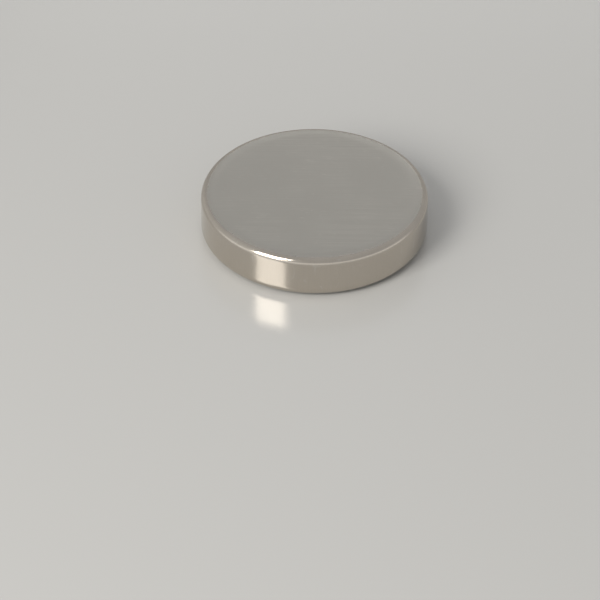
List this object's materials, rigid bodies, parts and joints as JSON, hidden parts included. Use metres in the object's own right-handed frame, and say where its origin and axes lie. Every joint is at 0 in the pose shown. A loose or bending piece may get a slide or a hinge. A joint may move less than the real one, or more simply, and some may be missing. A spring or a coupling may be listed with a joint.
{
  "type": "lithium coin cell",
  "caption": "Flat round lithium coin cell in a crimped steel case, with its gasket, cathode, separator and anode inside.",
  "frame": {"origin": "centre of the negative terminal face, which the cell rests on", "axes": "+Z along the axis, from the negative face to the positive face; X and Y are any two directions across it"},
  "size_m": [0.0244, 0.0244, 0.005],
  "materials": {
    "can_steel": "satin nickel-plated sheet, bright on the wall",
    "cap_steel": "satin nickel-plated sheet",
    "gasket_plastic": "natural moulded polypropylene",
    "ring_steel": "bright bent sheet",
    "cathode_mix": "pressed black powder",
    "separator_fibre": "non-woven fibre",
    "lithium_metal": "soft dull silver metal"
  },
  "bodies": {
    "root": {"positive_can": "can_steel", "negative_cap": "cap_steel", "gasket": "gasket_plastic", "cathode_ring": "ring_steel", "cathode_pellet": "cathode_mix", "separator": "separator_fibre", "lithium_disc": "lithium_metal"}
  },
  "joints": []
}
